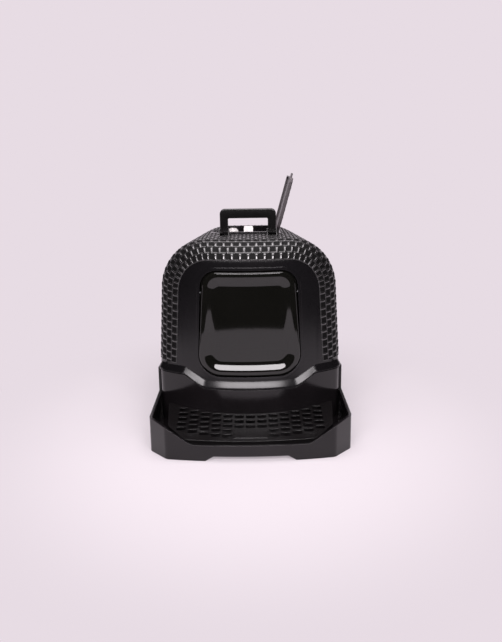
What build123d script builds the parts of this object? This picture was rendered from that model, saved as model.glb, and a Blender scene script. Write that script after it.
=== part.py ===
from build123d import *
import os
from math import cos, radians, sin, sqrt, tan

os.makedirs("parts", exist_ok=True)

# Driving dimensions, in millimetres. The front faces -Y, +Z is up, and the origin is on the
# floor under the middle of the box.
overall_width = 410.0
overall_depth = 550.0
wall = 3.0

half_width = overall_width / 2
front_y = -overall_depth / 2
rear_y = overall_depth / 2

# Seam between the drawer's front and the hood: level at the sides, dropped in the middle.
seam_side_z = 127.0
seam_middle_z = 100.5
seam_side_x = 142.0
seam_middle_x = 97.0
seam_gap = 1.0
seam_bend_radius = 14.0

# Base frame
base_front_y = -50.0
plan_taper = 0.045  # the sides close in towards the rear by this much per unit of depth
base_corner_radius = 80.0
base_rim_width = 11.0
base_rim_height = 4.0
front_post_width = 5.5
front_post_depth = 7.0
locating_lip_height = 5.0
base_floor = 3.0
base_floor_nose_y = -128.0
runner_height = 1.2
runner_x = 150.0

# Hood
hood_top_z = 414.0
spring_z = 304.0
arch_radius = hood_top_z - spring_z
hood_reference_y = -42.0
hood_half_base = 200.3  # at the seam's height, at the reference depth
hood_half_spring = 189.8
spring_taper = 0.132
bow_radius = 310.0
bow_y = -130.0
hood_rear_y = 269.0
front_shoulder_radius = 45.0
rear_shoulder_radius = 76.0
lip_height = 16.0
lip_reach = 7.0
lip_slope_height = 12.0
lip_slope_depth = 6.5
lip_grow = 2.5
lip_corner_radius = 30.0
hood_section_front_y = -140.0
seam_split_y = -60.0  # ahead of this the seam drops in the middle, behind it the seam is level
seam_reach = overall_depth + seam_split_y

# Entrance and its swinging flap
door_top_z = 355.5
door_bottom_z = 126.5
door_half_mid = 106.5
door_mid_z = 235.0
door_side_slope = 0.049
door_top_radius = 36.0
door_bottom_radius = 46.0
bezel_width = 6.0
bezel_reach = 1.6
door_start = 160.0
door_run = 90.0
flap_gap = 2.0
flap_setback = 2.2
flap_thickness = 3.0
flap_rim_width = 7.0
flap_rim_depth = 4.0
flap_pivot_z = 307.0
flap_pivot_y = -106.5
flap_pin_radius = 2.0
flap_boss_radius = 4.6
pivot_clearance = 0.06

# Drawer: a litter pan behind a bowed panel, with an entry step in front of it
panel_y = -138.0
panel_radius = 314.0
panel_half = 199.2
pan_bottom_z = 4.5
pan_rim_z = 93.0
pan_rear_y = 268.0
pan_corner_radius = 72.0
step_rear_y = base_front_y - 0.8
step_bow = 24.0
chamfer_side_y = -216.0
chamfer_front_x = 168.0
step_edge_radius = 16.0
step_side_z = 73.0
step_chamfer_z = 66.0
step_low_z = 33.0
step_low_x = 118.0
step_bend_radius = 24.0
step_rim_width = 6.0
step_rim_height = 4.0
step_floor_z = 14.0
step_foot_z = 0.5
step_foot_half = 196.0
notch_height = 10.5
notch_half_top = 74.0
notch_half_bottom = 91.0

# Step mat
mat_rear_y = -140.5
mat_rear_z = 48.3
mat_slope = 9.5
mat_thickness = 2.5
mat_rear_half = 180.0
mat_side_half = 171.0
mat_side_y = -185.0
mat_front_half = 134.0
mat_front_y = -246.0
mat_front_bow = 10.0
mat_skirt = 8.0
mat_columns = 15
mat_rows = 5
mat_column_pitch = 23.9
mat_row_pitch = 19.4
mat_first_row = 12.0
slot_length = 19.5
slot_width = 12.5
label_half = 35.0
label_height = 1.0
label_front_y = -235.0
label_rear_y = -206.0
mat_rear_radius = panel_radius + 2.5
mat_border = 2.5
mat_legs = ((-160.0, -122.0), (160.0, -122.0), (-120.0, -226.0), (120.0, -226.0))

# Carrying handle
handle_y = -6.0
handle_half = 61.3
handle_top_z = 472.4
handle_leg = 17.8
handle_bar = 20.5
handle_depth = 13.0
handle_corner = 11.0
handle_inner_corner = 3.0
handle_pivot_z = 422.6
handle_pin_radius = 2.0
cheek = 2.0
bracket_plate = 1.2
bracket_front = 10.0
bracket_rear = 17.0
cheek_top_z = 428.0
screw_radius = 1.5
screw_head_radius = 3.2
screw_y = handle_y + 11.5
handle_edge = 2.0
cheek_gap = 0.3
cheek_half = 5.5
stop_offset = 7.0
screw_block_z = 424.0
screw_depth = 8.0
screw_head_height = 2.0

# Storage bin in the top, its lid and hinge
bin_left = -52.0
bin_right = 54.0
bin_front = 20.0
bin_rear = 155.0
bin_floor_z = 356.0
bin_rim = 2.3
bin_rim_height = 5.0
bin_wall = 2.0
bin_corner = 8.0
lid_left = -56.4
lid_right = 60.8
lid_front = 15.0
lid_rear = 160.0
lid_height = 7.0
lid_skin = 2.4
lid_wall = 1.8
lid_corner = 9.0
lid_edge = 2.0
lid_lip = 8.5
lid_lip_half = 19.0
lid_open = 105.6
lid_lift = 1.5
hinge_x = 65.2
hinge_z = 419.0
knuckle_radius = 4.0
knuckle_length = 12.0
lug_length = 6.0
lug_root = 2.0
knuckle_gap = 0.4
lid_pin_radius = 1.5
hinge_front_y = 34.0
hinge_rear_y = 141.0
finger_recess_x = -59.0
finger_recess_y = 88.0
finger_recess_radius = 24.0
finger_recess_depth = 9.0

# White accessories kept in the bin
cup_x = -35.5
cup_y = 102.0
cup_radius = 13.0
cup_top_z = 404.0
cap_top_z = 419.0
scoop_x = 0.5
scoop_front_y = 24.0
scoop_head_length = 58.0
scoop_head_half = 33.0
scoop_head_height = 22.0
scoop_wall = 2.0
scoop_handle_half = 11.0
scoop_end_y = 149.0
scoop_end_z = 419.3
scoop_handle_thickness = 5.0


def taper_half(front_half, y, slope=plan_taper, from_y=base_front_y):
    """Half width at depth y of a plan whose sides close in towards the rear."""
    return front_half - slope * (y - from_y)


def arc_y(x, nose_y, radius):
    """Depth, at x, of a bowed front whose foremost point is at nose_y."""
    return nose_y + radius - sqrt(radius**2 - x**2)


def housing_plan(inset, from_y=base_front_y, rear_inset=0.0):
    """The base's tapered plan, drawn in by inset, with rounded rear corners."""
    front_half = taper_half(half_width, from_y) - inset
    rear = rear_y - inset - rear_inset
    rear_half = taper_half(half_width, rear) - inset
    with BuildSketch() as plan:
        with BuildLine():
            Polyline(
                (-front_half, from_y),
                (-rear_half, rear),
                (rear_half, rear),
                (front_half, from_y),
                close=True,
            )
        make_face()
        fillet(plan.vertices().group_by(Axis.Y)[-1], base_corner_radius - inset)
    return plan.sketch


def bowed_plan(front_half, nose_y, radius, plan_rear_y, corner, slope=plan_taper, front_corner=0.0):
    """Tapered plan outline with a bowed front and rounded rear corners."""
    side_y = arc_y(front_half, nose_y, radius)
    rear_half = taper_half(front_half, plan_rear_y, slope, side_y)
    with BuildSketch() as plan:
        with BuildLine():
            ThreePointArc((-front_half, side_y), (0, nose_y), (front_half, side_y))
            Polyline(
                (front_half, side_y),
                (rear_half, plan_rear_y),
                (-rear_half, plan_rear_y),
                (-front_half, side_y),
            )
        make_face()
        fillet(plan.vertices().group_by(Axis.Y)[-1], corner)
        if front_corner:
            fillet(plan.vertices().group_by(Axis.Y)[0], front_corner)
    return plan.sketch


def below_seam(lift):
    """Front view of everything under the seam, with the seam moved up by lift."""
    side_z, middle_z = seam_side_z + lift, seam_middle_z + lift
    with BuildSketch(Plane.XZ.offset(overall_depth)) as view:
        with BuildLine():
            Polyline(
                (-250, -20),
                (-250, side_z),
                (-seam_side_x, side_z),
                (-seam_middle_x, middle_z),
                (seam_middle_x, middle_z),
                (seam_side_x, side_z),
                (250, side_z),
                (250, -20),
                close=True,
            )
        make_face()
        fillet(view.vertices().filter_by(lambda v: abs(v.X) < half_width), seam_bend_radius)
    return view.sketch


def level_view(top_z):
    """Front view of everything under a level line."""
    with BuildSketch(Plane.XZ.offset(overall_depth)) as view:
        with Locations((0, top_z)):
            Rectangle(500, 200, align=(Align.CENTER, Align.MAX))
    return view.sketch


def run_back(view, reach):
    """Solid made by running a front view towards the rear."""
    with BuildPart() as block:
        extrude(view, amount=-reach)
    return block.part


def rounded_box(left, right, front, rear, low_z, high_z, corner):
    """Upright block with rounded vertical edges."""
    with BuildPart() as block:
        with BuildSketch(Plane.XY.offset(low_z)):
            with Locations(((left + right) / 2, (front + rear) / 2)):
                RectangleRounded(right - left, rear - front, corner)
        extrude(amount=high_z - low_z)
    return block.part


# Base frame: floor, tapered walls, and a rim that the hood stands on
with BuildPart() as base_frame:
    with BuildSketch():
        add(housing_plan(0))
    extrude(amount=seam_side_z)
    with BuildSketch(Plane.XY.offset(base_floor)):
        add(housing_plan(wall, base_front_y - wall))
    extrude(amount=seam_side_z - base_rim_height - base_floor, mode=Mode.SUBTRACT)
    with BuildSketch(Plane.XY.offset(seam_side_z - base_rim_height)):
        add(housing_plan(base_rim_width, base_front_y - wall))
    extrude(amount=base_rim_height, mode=Mode.SUBTRACT)
    with BuildSketch(Plane.XY.offset(seam_side_z - base_rim_height)):  # locating lip inside the hood
        add(housing_plan(base_rim_width - 2.5, base_front_y + 12, 2.0))
        add(housing_plan(base_rim_width, base_front_y + 10, 2.0), mode=Mode.SUBTRACT)
    extrude(amount=base_rim_height + locating_lip_height)
    with BuildSketch():  # thickened front posts
        for side in (-1, 1):
            with Locations((side * (half_width - front_post_width / 2), base_front_y + front_post_depth / 2)):
                Rectangle(front_post_width, front_post_depth)
    extrude(amount=seam_side_z)
    with BuildSketch(Plane.XY.offset(base_floor)):  # runners for the pan
        with Locations((-runner_x, 105), (runner_x, 105)):
            Rectangle(8, 290)
    extrude(amount=runner_height)
    with BuildSketch():  # the floor's bowed nose, under the front of the pan
        with BuildLine():
            nose = ThreePointArc((-193, base_front_y), (0, base_floor_nose_y), (193, base_front_y))
            Line(nose @ 1, nose @ 0)
        make_face()
    extrude(amount=base_floor)
base_frame.part.label = "base_frame"
export_step(base_frame.part, "parts/base_frame.step")


def arch_profile(y, inset):
    """Cross-section of the hood at depth y: leaning sides under a round-cornered flat top."""
    half_base = taper_half(hood_half_base, y, plan_taper, hood_reference_y) - inset
    half_spring = taper_half(hood_half_spring, y, spring_taper, hood_reference_y) - inset
    lean = (half_base - half_spring) / (spring_z - seam_side_z)
    low_z = seam_middle_z - 10
    top_z = hood_top_z - inset
    low_half = half_base + lean * (seam_side_z - low_z)
    top_half = half_spring - lean * (top_z - spring_z)
    with BuildSketch(Plane.XZ.offset(-y)) as section:
        with BuildLine():
            Polyline((-low_half, low_z), (-top_half, top_z), (top_half, top_z), (low_half, low_z), close=True)
        make_face()
        fillet(section.vertices().group_by(Axis.Y)[-1], arch_radius - inset)
    return section.sketch


def above_foot(edge):
    """Whether an edge of the hood's form is clear of its open foot."""
    return edge.center().Z > seam_middle_z


def hood_form(inset):
    """Outer form of the hood, or with an inset the room inside it."""
    with BuildPart() as form:
        loft([arch_profile(y, inset) for y in (hood_section_front_y, hood_rear_y - inset)], ruled=True)
        with BuildSketch():
            add(bowed_plan(half_width + 20, bow_y + inset, bow_radius - inset, rear_y + 20, 5, 0))
        extrude(amount=hood_top_z + 10, mode=Mode.INTERSECT)
        rear_face = form.faces().sort_by(Axis.Y)[-1]
        fillet(rear_face.edges().filter_by(above_foot), rear_shoulder_radius - inset)
        front_face = form.faces().filter_by(GeomType.CYLINDER).sort_by(Axis.Y)[0]
        fillet(front_face.edges().filter_by(above_foot), front_shoulder_radius - inset)
    return form.part


def lip_rim(edge):
    """Whether an edge of the lip's top is on its outline, and not a crease where the seam bends."""
    return edge.geom_type != GeomType.LINE or not seam_middle_x - 5 < abs(edge.center().X) < seam_side_x + 5


def lip_block(view, near_y, far_y):
    """Part of the lip between two depths, with a bevelled top that follows a front view."""
    with BuildPart() as block:
        with BuildSketch(Plane.XY.offset(seam_middle_z - 5)):
            add(
                bowed_plan(
                    hood_half_base + lip_grow,
                    bow_y - lip_reach,
                    bow_radius + lip_grow,
                    hood_rear_y + lip_grow,
                    base_corner_radius,
                    plan_taper,
                    lip_corner_radius,
                )
            )
        extrude(amount=seam_side_z + lip_height - seam_middle_z + 10)
        add(run_back(view, 2 * overall_depth), mode=Mode.INTERSECT)
        tops = block.faces().filter_by(lambda face: face.normal_at().Z > 0.5)
        chamfer(tops.edges().filter_by(lip_rim), lip_slope_height, lip_slope_depth)
        with Locations((0, near_y, 0)):
            Box(600, far_y - near_y, 600, align=(Align.CENTER, Align.MIN, Align.CENTER), mode=Mode.INTERSECT)
    return block.part


def door_sketch(grow):
    """Entrance outline in front view, on a plane ahead of the hood."""
    top_half = door_half_mid - door_side_slope * (door_top_z - door_mid_z) + grow
    bottom_half = door_half_mid + door_side_slope * (door_mid_z - door_bottom_z) + grow
    with BuildSketch(Plane.XZ.offset(door_start)) as view:
        with BuildLine():
            Polyline(
                (-bottom_half, door_bottom_z - grow),
                (-top_half, door_top_z + grow),
                (top_half, door_top_z + grow),
                (bottom_half, door_bottom_z - grow),
                close=True,
            )
        make_face()
        fillet(view.vertices().group_by(Axis.Y)[-1], door_top_radius + grow)
        fillet(view.vertices().group_by(Axis.Y)[0], door_bottom_radius + grow)
    return view.sketch


def door_prism(grow):
    """The entrance outline run back through the hood's front."""
    return run_back(door_sketch(grow), door_run)


def bowed_sheet(nose_y, radius, thickness, half=150.0):
    """Upright bowed sheet that bellies towards the front, tall enough for the entrance."""
    with BuildPart() as sheet:
        with BuildSketch(Plane.XY.offset(door_bottom_z - 30)):
            with BuildLine():
                outer = ThreePointArc(
                    (-half, arc_y(half, nose_y, radius)), (0, nose_y), (half, arc_y(half, nose_y, radius))
                )
                inner_y = arc_y(half, nose_y + thickness, radius - thickness)
                inner = ThreePointArc((-half, inner_y), (0, nose_y + thickness), (half, inner_y))
                Line(outer @ 0, inner @ 0)
                Line(outer @ 1, inner @ 1)
            make_face()
        extrude(amount=door_top_z - door_bottom_z + 60)
    return sheet.part


def cross_rod(radius, left, right, y, z):
    """Round rod along X between two stations."""
    with BuildPart() as rod:
        with BuildSketch(Plane.YZ.offset(left)):
            with Locations((y, z)):
                Circle(radius)
        extrude(amount=right - left)
    return rod.part


def along_rod(radius, front, rear, x, z):
    """Round rod along Y between two stations."""
    with BuildPart() as rod:
        with BuildSketch(Plane.XZ.offset(-front)):
            with Locations((x, z)):
                Circle(radius)
        extrude(amount=front - rear)
    return rod.part


def upright_rod(radius, x, y, low_z, high_z):
    """Round rod along Z between two heights."""
    with BuildPart() as rod:
        with BuildSketch(Plane.XY.offset(low_z)):
            with Locations((x, y)):
                Circle(radius)
        extrude(amount=high_z - low_z)
    return rod.part


def half_round(radius, past, low_z, high_z):
    """Upright half-round block left of the lid, run on past its flat side."""
    with BuildPart() as block:
        with BuildSketch(Plane.XY.offset(low_z)):
            with Locations((finger_recess_x, finger_recess_y)):
                Circle(radius)
            with Locations((finger_recess_x + past, finger_recess_y)):
                Rectangle(
                    2 * radius, 2 * radius, align=(Align.MIN, Align.CENTER), mode=Mode.SUBTRACT
                )
        extrude(amount=high_z - low_z)
    return block.part


hood_outer = hood_form(0)
hood_room = hood_form(wall)
hinge_spans = [
    (middle - knuckle_length / 2, middle + knuckle_length / 2) for middle in (hinge_front_y, hinge_rear_y)
]
lug_spans = [
    span
    for front, rear in hinge_spans
    for span in (
        (front - knuckle_gap - lug_length, front - knuckle_gap),
        (rear + knuckle_gap, rear + knuckle_gap + lug_length),
    )
]
handle_middle_x = handle_half - handle_leg / 2
pivot_half = door_half_mid - door_side_slope * (flap_pivot_z - door_mid_z)

# Hood: one moulding with the lip at its foot, the entrance, and the hinge lugs on top
with BuildPart() as hood_shell:
    add(hood_outer)
    add(lip_block(below_seam(lip_height), -overall_depth, seam_split_y))
    add(lip_block(level_view(seam_side_z + lip_height), seam_split_y, overall_depth))
    add(hood_room, mode=Mode.SUBTRACT)
    with BuildSketch(Plane.XY.offset(hood_top_z + 1)):  # square holes for the bracket screws
        with Locations((-handle_middle_x, screw_y), (handle_middle_x, screw_y)):
            Rectangle(2 * screw_radius + 0.6, 2 * screw_radius + 0.6)
    extrude(amount=-2 * wall, mode=Mode.SUBTRACT)
    add(run_back(below_seam(0), seam_reach), mode=Mode.SUBTRACT)
    with Locations((0, seam_split_y - 1, seam_side_z)):
        Box(600, 600, 100, align=(Align.CENTER, Align.MIN, Align.MAX), mode=Mode.SUBTRACT)
    add((door_prism(bezel_width) & bowed_sheet(bow_y - bezel_reach, bow_radius + bezel_reach, wall)))
    add(door_prism(0), mode=Mode.SUBTRACT)
    for side in (-1, 1):
        near_x, far_x = sorted((side * (pivot_half + 0.4), side * (pivot_half + 7.5)))
        add(cross_rod(flap_boss_radius, near_x, far_x, flap_pivot_y, flap_pivot_z) & hood_outer)
        near_x, far_x = sorted((side * (pivot_half - 1.0), side * (pivot_half + 6.5)))
        bore = cross_rod(flap_pin_radius + pivot_clearance, near_x, far_x, flap_pivot_y, flap_pivot_z)
        add(bore, mode=Mode.SUBTRACT)
    # finger recess beside the lid: a half-round pocket let into the top
    recess_low_z = hood_top_z - finger_recess_depth
    add(half_round(finger_recess_radius + wall, wall, recess_low_z - wall, hood_top_z) & hood_outer)
    add(half_round(finger_recess_radius, 0, recess_low_z, hood_top_z + 1), mode=Mode.SUBTRACT)
    add(
        rounded_box(bin_left, bin_right, bin_front, bin_rear, hood_top_z - 5, hood_top_z + 1, bin_corner),
        mode=Mode.SUBTRACT,
    )
    for front, rear in lug_spans:
        add(along_rod(knuckle_radius, front, rear, hinge_x, hinge_z))
        with Locations((hinge_x, (front + rear) / 2, hood_top_z - lug_root)):
            Box(
                2 * knuckle_radius,
                rear - front,
                hinge_z - hood_top_z + lug_root,
                align=(Align.CENTER, Align.CENTER, Align.MIN),
            )
        add(along_rod(lid_pin_radius, front - 1, rear + 1, hinge_x, hinge_z), mode=Mode.SUBTRACT)
hood_shell.part.label = "hood_shell"
export_step(hood_shell.part, "parts/hood_shell.step")

# Door flap: a bowed pane with a turned-back rim and two ears for its pins
pane_nose_y = bow_y + flap_setback
pane_radius = bow_radius - flap_setback
with BuildPart() as door_flap:
    add(door_prism(-flap_gap) & bowed_sheet(pane_nose_y, pane_radius, flap_thickness))
    add(
        (door_prism(-flap_gap) - door_prism(-flap_gap - flap_rim_width))
        & bowed_sheet(pane_nose_y, pane_radius, flap_thickness + flap_rim_depth)
    )
    ear_x = pivot_half - flap_gap - 0.2
    for side in (-1, 1):
        near_x, far_x = sorted((side * (ear_x - 9.0), side * ear_x))
        add(cross_rod(flap_boss_radius - 0.6, near_x, far_x, flap_pivot_y, flap_pivot_z))
        near_x, far_x = sorted((side * (ear_x - 7.0), side * (ear_x + 1.0)))
        add(cross_rod(flap_pin_radius, near_x, far_x, flap_pivot_y, flap_pivot_z), mode=Mode.SUBTRACT)
door_flap.part.label = "door_flap"
export_step(door_flap.part, "parts/door_flap.step")

for side, name in ((-1, "flap_pin_left"), (1, "flap_pin_right")):
    near_x, far_x = sorted((side * (ear_x - 7.0), side * (pivot_half + 6.0)))
    flap_pin = cross_rod(flap_pin_radius, near_x, far_x, flap_pivot_y, flap_pivot_z)
    flap_pin.label = name
    export_step(flap_pin, "parts/" + name + ".step")


def step_plan(inset):
    """Plan of the entry step: straight sides, cut corners and a bowed front."""
    front_radius = (half_width**2 + step_bow**2) / (2 * step_bow)
    chamfer_front_y = arc_y(chamfer_front_x, front_y, front_radius)
    with BuildSketch() as plan:
        with BuildLine():
            ThreePointArc(
                (-chamfer_front_x, chamfer_front_y), (0, front_y), (chamfer_front_x, chamfer_front_y)
            )
            Polyline(
                (chamfer_front_x, chamfer_front_y),
                (half_width, chamfer_side_y),
                (half_width, step_rear_y),
                (-half_width, step_rear_y),
                (-half_width, chamfer_side_y),
                (-chamfer_front_x, chamfer_front_y),
            )
        make_face()
        fillet(plan.vertices().filter_by(lambda v: v.Y < chamfer_side_y + 1), step_edge_radius)
        if inset:
            offset(amount=-inset, kind=Kind.INTERSECTION)
    return plan.sketch


def step_side_view(drop):
    """Front view of everything under the step's top edge, with the edge moved down by drop."""
    with BuildSketch(Plane.XZ.offset(overall_depth)) as view:
        with BuildLine():
            Polyline(
                (-250, -20),
                (-250, step_side_z - drop),
                (-half_width, step_side_z - drop),
                (-chamfer_front_x, step_chamfer_z - drop),
                (-step_low_x, step_low_z - drop),
                (step_low_x, step_low_z - drop),
                (chamfer_front_x, step_chamfer_z - drop),
                (half_width, step_side_z - drop),
                (250, step_side_z - drop),
                (250, -20),
                close=True,
            )
        make_face()
        fillet(view.vertices().filter_by(lambda v: abs(v.X) < half_width - 1), step_bend_radius)
    return view.sketch


def step_ring(ring_width, low_z, high_z):
    """Upright wall that follows the step's outline."""
    with BuildPart() as ring:
        with BuildSketch(Plane.XY.offset(low_z)):
            add(step_plan(0))
            add(step_plan(ring_width), mode=Mode.SUBTRACT)
        extrude(amount=high_z - low_z)
    return ring.part


# Drawer: the pan, its bowed front panel and the entry step, moulded in one
with BuildPart() as drawer:
    step_top = run_back(step_side_view(0), overall_depth)
    under_rim = run_back(step_side_view(step_rim_height), overall_depth)
    add(step_ring(wall, step_foot_z, step_side_z) & step_top)
    add((step_ring(step_rim_width, step_floor_z, step_side_z) & step_top) - under_rim)
    with BuildSketch(Plane.XY.offset(step_floor_z - wall)):
        add(step_plan(1))
    extrude(amount=wall)
    with BuildSketch(Plane.XY.offset(pan_bottom_z)):
        add(
            bowed_plan(
                panel_half,
                panel_y,
                panel_radius,
                pan_rear_y,
                pan_corner_radius,
                plan_taper,
                lip_corner_radius,
            )
        )
    extrude(amount=seam_side_z - seam_gap - pan_bottom_z)
    with BuildSketch(Plane.XY.offset(pan_bottom_z + wall)):
        add(
            bowed_plan(
                panel_half - wall,
                panel_y + wall,
                panel_radius - wall,
                pan_rear_y - wall,
                pan_corner_radius - wall,
                plan_taper,
                lip_corner_radius - wall,
            )
        )
    extrude(amount=seam_side_z, mode=Mode.SUBTRACT)
    with Locations((0, step_rear_y, pan_rim_z)):
        Box(600, 600, 60, align=(Align.CENTER, Align.MIN, Align.MIN), mode=Mode.SUBTRACT)
    add(run_back(below_seam(-seam_gap), 2 * overall_depth), mode=Mode.INTERSECT)
    with Locations((0, step_rear_y, 0)):  # clear of the base's nose
        Box(
            2 * step_foot_half,
            3 * wall,
            pan_bottom_z,
            align=(Align.CENTER, Align.CENTER, Align.MIN),
            mode=Mode.SUBTRACT,
        )
    # finger notch at the foot of the step
    with BuildSketch(Plane.XZ.offset(-front_y + 20)) as notch:
        with BuildLine():
            Polyline(
                (-notch_half_bottom, 0),
                (-notch_half_top, notch_height),
                (notch_half_top, notch_height),
                (notch_half_bottom, 0),
                close=True,
            )
        make_face()
        fillet(notch.vertices().group_by(Axis.Y)[-1], 6)
    extrude(amount=-70, mode=Mode.SUBTRACT)
drawer.part.label = "drawer"
export_step(drawer.part, "parts/drawer.step")


def mat_top(y):
    """Height of the mat's upper face at depth y."""
    return mat_rear_z + (y - mat_rear_y) * tan(radians(mat_slope))


def mat_slab(lift, depth):
    """Sloping slab that follows the mat's upper face, from lift above it to depth below it."""
    near, far = front_y, base_front_y
    with BuildPart() as slab:
        with BuildSketch(Plane.YZ.offset(-half_width)):
            with BuildLine():
                Polyline(
                    (near, mat_top(near) + lift),
                    (far, mat_top(far) + lift),
                    (far, mat_top(far) - depth),
                    (near, mat_top(near) - depth),
                    close=True,
                )
            make_face()
        extrude(amount=overall_width)
    return slab.part


def mat_plan(inset):
    """Plan of the mat: its rear follows the drawer's panel and its front corners are cut."""
    rear_corner_y = arc_y(mat_rear_half, mat_rear_y, mat_rear_radius)
    front_corner_y = mat_front_y + mat_front_bow
    with BuildSketch() as plan:
        with BuildLine():
            ThreePointArc((-mat_rear_half, rear_corner_y), (0, mat_rear_y), (mat_rear_half, rear_corner_y))
            Polyline(
                (mat_rear_half, rear_corner_y),
                (mat_side_half, mat_side_y),
                (mat_front_half, front_corner_y),
            )
            ThreePointArc(
                (mat_front_half, front_corner_y), (0, mat_front_y), (-mat_front_half, front_corner_y)
            )
            Polyline(
                (-mat_front_half, front_corner_y),
                (-mat_side_half, mat_side_y),
                (-mat_rear_half, rear_corner_y),
            )
        make_face()
        fillet(plan.vertices().group_by(Axis.Y)[-1], 5)
        fillet(plan.vertices().filter_by(lambda v: abs(v.Y - mat_side_y) < 1), 12)
        fillet(plan.vertices().group_by(Axis.Y)[0], 12)
        if inset:
            offset(amount=-inset, kind=Kind.INTERSECTION)
    return plan.sketch


def mat_column(inset):
    """The mat's plan run upwards."""
    with BuildPart() as column:
        with BuildSketch():
            add(mat_plan(inset))
        extrude(amount=seam_middle_z)
    return column.part


def slot_fits(x, y):
    """Whether a slot centred at x, y stays inside the mat's border and off the label plate."""
    reach_x = abs(x) + slot_length / 2 + mat_border
    low_y = y - slot_width / 2 - mat_border
    side_slope = (mat_rear_half - mat_side_half) / (mat_corner_y - mat_side_y)
    cut_slope = (mat_side_half - mat_front_half) / (mat_side_y - mat_front_y - mat_front_bow)
    side = mat_side_half + side_slope * (low_y - mat_side_y)
    cut = mat_side_half + cut_slope * (low_y - mat_side_y)
    on_label = abs(x) < label_half + slot_length / 2 and y < label_rear_y
    return reach_x < min(side, cut) and low_y > mat_front_y and not on_label


mat_corner_y = arc_y(mat_rear_half, mat_rear_y, mat_rear_radius)
slot_points = []
for row in range(mat_rows):
    for column in range(mat_columns):
        slot_x = (column - (mat_columns - 1) / 2) * mat_column_pitch
        slot_y = arc_y(slot_x, mat_rear_y, mat_rear_radius) - mat_first_row - row * mat_row_pitch
        if slot_fits(slot_x, slot_y):
            slot_points.append((slot_x, slot_y))

# Step mat: a sloping perforated plate on legs, lifted out for cleaning
with BuildPart() as step_mat:
    add(mat_column(0) & mat_slab(0, mat_thickness))
    add((mat_column(0) - mat_column(2.0)) & mat_slab(0, mat_skirt))
    with BuildSketch():
        with Locations(*slot_points):
            RectangleRounded(slot_length, slot_width, 3.5)
    extrude(amount=seam_middle_z, mode=Mode.SUBTRACT)
    label_plate = rounded_box(-label_half, label_half, label_front_y, label_rear_y, 20, 60, 3)
    add(label_plate & mat_slab(label_height, 1.0))
    for leg_x, leg_y in mat_legs:
        leg = rounded_box(leg_x - 5, leg_x + 5, leg_y - 4, leg_y + 4, step_floor_z, seam_middle_z, 1.5)
        add(leg & mat_slab(-1.0, 60))
step_mat.part.label = "step_mat"
export_step(step_mat.part, "parts/step_mat.step")


# Carrying handle: an upright bail with rounded lower ends
with BuildPart() as carry_handle:
    with BuildSketch(Plane.XZ.offset(handle_depth / 2 - handle_y)) as bail:
        with Locations((0, handle_pivot_z)):
            Rectangle(2 * handle_half, handle_top_z - handle_pivot_z, align=(Align.CENTER, Align.MIN))
        fillet(bail.vertices().group_by(Axis.Y)[-1], handle_corner)
        with Locations((0, handle_pivot_z - 1)):
            RectangleRounded(
                2 * (handle_half - handle_leg),
                2 * (handle_top_z - handle_bar - handle_pivot_z + 1),
                handle_inner_corner,
                mode=Mode.SUBTRACT,
            )
    extrude(amount=-handle_depth)
    fillet(carry_handle.edges().filter_by(lambda edge: edge.center().Z > handle_pivot_z + 1), handle_edge)
    for side in (-1, 1):
        near_x, far_x = sorted((side * handle_half, side * (handle_half - handle_leg)))
        add(cross_rod(handle_depth / 2, near_x, far_x, handle_y, handle_pivot_z))
        bore = cross_rod(handle_pin_radius + pivot_clearance, near_x - 1, far_x + 1, handle_y, handle_pivot_z)
        add(bore, mode=Mode.SUBTRACT)
carry_handle.part.label = "carry_handle"
export_step(carry_handle.part, "parts/carry_handle.step")

for side, name in ((-1, "left"), (1, "right")):
    outer_x = handle_half + cheek_gap + cheek
    inner_x = handle_half - handle_leg - cheek_gap - cheek
    near_x, far_x = sorted((side * outer_x, side * inner_x))
    handle_pin = cross_rod(handle_pin_radius, near_x, far_x, handle_y, handle_pivot_z)
    handle_pin.label = "handle_pin_" + name
    export_step(handle_pin, "parts/handle_pin_" + name + ".step")
    with BuildPart() as bracket:
        with BuildSketch(Plane.YZ.offset(near_x)) as cheek_view:
            with BuildLine():
                Polyline(
                    (handle_y - bracket_front, hood_top_z),
                    (handle_y - bracket_front, hood_top_z + bracket_plate),
                    (handle_y - cheek_half, cheek_top_z),
                    (handle_y + cheek_half, cheek_top_z),
                    (handle_y + bracket_rear, screw_block_z),
                    (handle_y + bracket_rear, hood_top_z),
                    close=True,
                )
            make_face()
            fillet(cheek_view.vertices().group_by(Axis.Y)[-1], cheek_half - 1)
        extrude(amount=far_x - near_x)
        with Locations((side * handle_middle_x, handle_y + stop_offset, hood_top_z + bracket_plate)):
            Box(
                handle_leg + 2 * cheek_gap,
                100,
                100,
                align=(Align.CENTER, Align.MAX, Align.MIN),
                mode=Mode.SUBTRACT,
            )
        pin_bore = cross_rod(handle_pin_radius, near_x - 1, far_x + 1, handle_y, handle_pivot_z)
        add(pin_bore, mode=Mode.SUBTRACT)
        screw_bore = upright_rod(
            screw_radius, side * handle_middle_x, screw_y, hood_top_z - 1, hood_top_z + screw_depth + 0.5
        )
        add(screw_bore, mode=Mode.SUBTRACT)
    bracket.part.label = "handle_bracket_" + name
    export_step(bracket.part, "parts/handle_bracket_" + name + ".step")

# Two screws hold the brackets from inside the hood
with BuildPart() as bracket_screws:
    for side in (-1, 1):
        inside_z = hood_top_z - wall
        screw_x = side * handle_middle_x
        add(upright_rod(screw_head_radius, screw_x, screw_y, inside_z - screw_head_height, inside_z))
        add(upright_rod(screw_radius, screw_x, screw_y, inside_z, hood_top_z + screw_depth))
        with Locations((screw_x, screw_y, inside_z - screw_head_height)):
            Box(1.2, 4.2, 1.0, align=(Align.CENTER, Align.CENTER, Align.MIN), mode=Mode.SUBTRACT)
            Box(4.2, 1.2, 1.0, align=(Align.CENTER, Align.CENTER, Align.MIN), mode=Mode.SUBTRACT)
bracket_screws.part.label = "bracket_screws"
export_step(bracket_screws.part, "parts/bracket_screws.step")

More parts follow.
